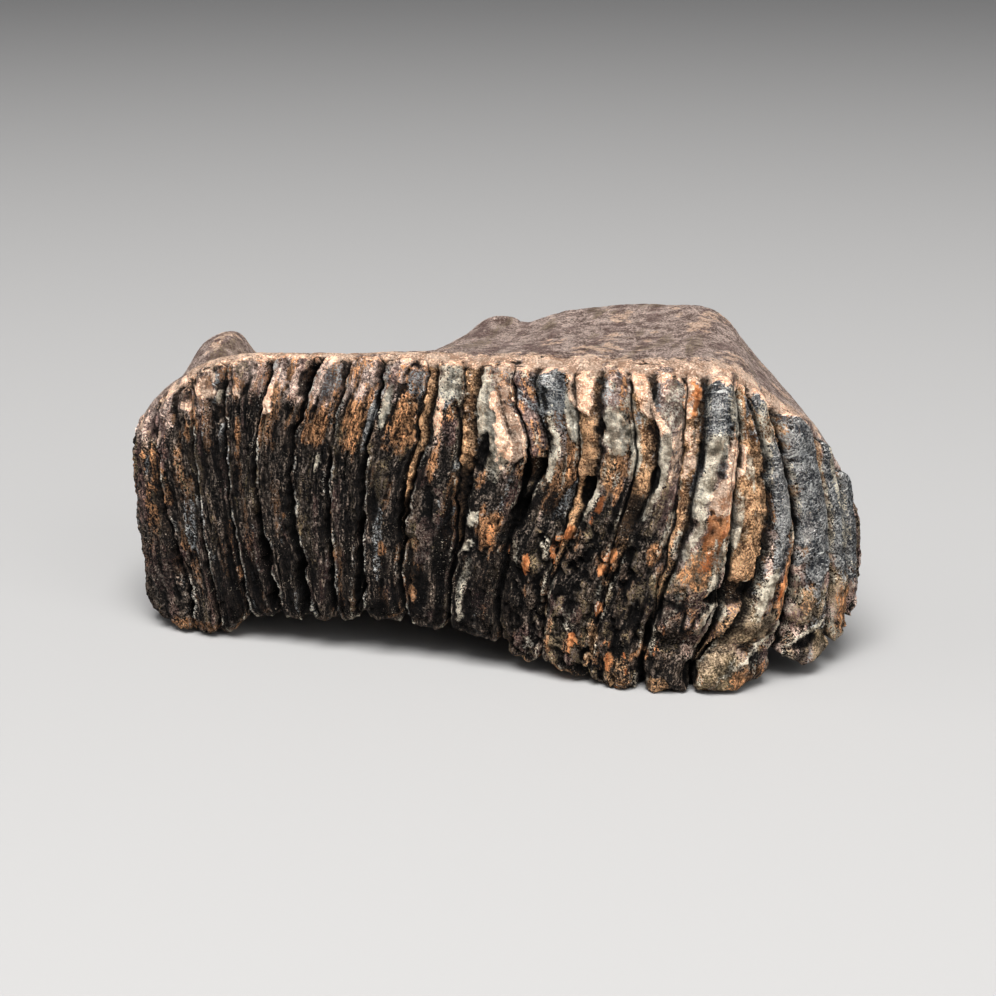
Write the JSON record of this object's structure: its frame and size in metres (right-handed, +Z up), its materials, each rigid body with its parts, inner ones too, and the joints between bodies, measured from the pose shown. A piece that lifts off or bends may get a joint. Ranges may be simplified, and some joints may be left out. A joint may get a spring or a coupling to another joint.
{
  "type": "fossil woolly mammoth molar",
  "caption": "Long ridged fossil molar of upright enamel plates with a worn, slanting chewing surface and an arched broken base that it stands on.",
  "frame": {"origin": "on the surface the tooth stands on, under the middle of its box", "axes": "+X along the tooth from its worn front end to its rounded back end, +Z up through the chewing surface, -Y out of the side that the picture shows"},
  "size_m": [0.2062, 0.0832, 0.0898],
  "materials": {
    "fossil": "dull mineralised enamel, dentine and cement, dark brown to tan and blue-grey"
  },
  "bodies": {
    "root": {"mammoth_tooth": "fossil"}
  },
  "joints": []
}
